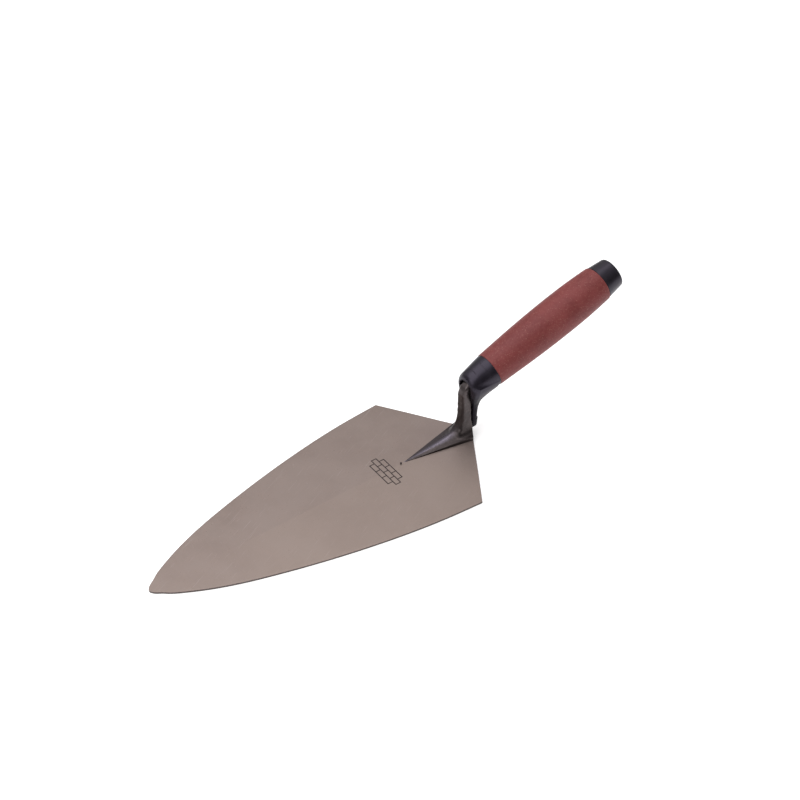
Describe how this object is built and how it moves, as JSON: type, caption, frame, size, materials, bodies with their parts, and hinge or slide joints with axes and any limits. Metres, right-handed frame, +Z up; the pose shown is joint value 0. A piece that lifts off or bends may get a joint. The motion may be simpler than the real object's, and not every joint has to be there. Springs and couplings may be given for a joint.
{
  "type": "brick trowel",
  "caption": "Philadelphia pattern brick trowel: broad pointed steel blade forged with its heel and cranked shank, black hooded collar, barrel grip sleeve and end cap.",
  "frame": {"origin": "middle of the whole tool's footprint on the plane the blade lies on", "axes": "+X from the blade's point towards the handle's butt, +Y across the blade, +Z up out of the blade's top face"},
  "size_m": [0.4185, 0.1366, 0.1026],
  "materials": {
    "forged_steel": "satin ground blade with fine cross grinding lines, dark forge finish on heel and shank",
    "core_black": "black moulded polymer with a soft satin shine",
    "grip_red": "matte red-brown soft elastomer with fine pale speckle",
    "cap_black": "black moulded polymer, semi-gloss"
  },
  "bodies": {
    "root": {"forged_blade": "forged_steel", "handle_core": "core_black", "grip_sleeve": "grip_red", "end_cap": "cap_black"}
  },
  "joints": []
}
